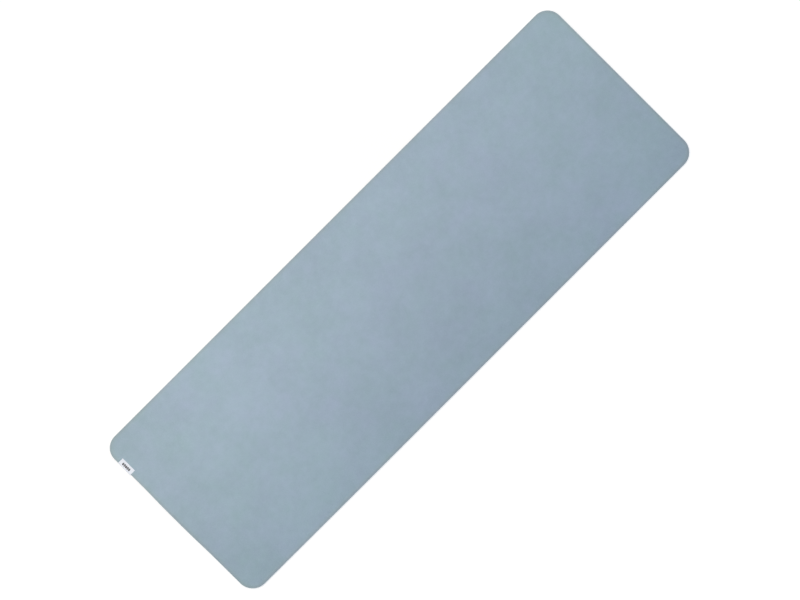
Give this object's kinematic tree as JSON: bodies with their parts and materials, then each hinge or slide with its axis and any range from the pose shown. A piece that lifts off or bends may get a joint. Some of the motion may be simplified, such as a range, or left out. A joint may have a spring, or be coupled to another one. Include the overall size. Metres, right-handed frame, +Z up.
{
  "type": "yoga mat",
  "caption": "Flat rectangular exercise mat with rounded corners: laminated foam on a reinforcing scrim, with a small woven label folded and stitched round one end.",
  "frame": {"origin": "centre of the mat's underside, on the floor that it lies on", "axes": "+X along the mat's length, away from the end with the label; +Y across its width, towards the long side that the label is nearer; +Z up out of the top face"},
  "size_m": [1.8228, 0.61, 0.005],
  "materials": {
    "top_foam": "matte, finely textured closed-cell foam",
    "base_foam": "matte closed-cell foam with a fine anti-slip texture",
    "scrim_polyester": "open woven polyester, sealed between the foam layers",
    "label_satin": "white satin-woven polyester ribbon",
    "polyester_thread": "white sewing thread"
  },
  "bodies": {
    "root": {"top_layer": "top_foam", "base_layer": "base_foam", "reinforcing_scrim": "scrim_polyester", "woven_label": "label_satin", "needle_thread": "polyester_thread", "bobbin_thread": "polyester_thread"}
  },
  "joints": []
}
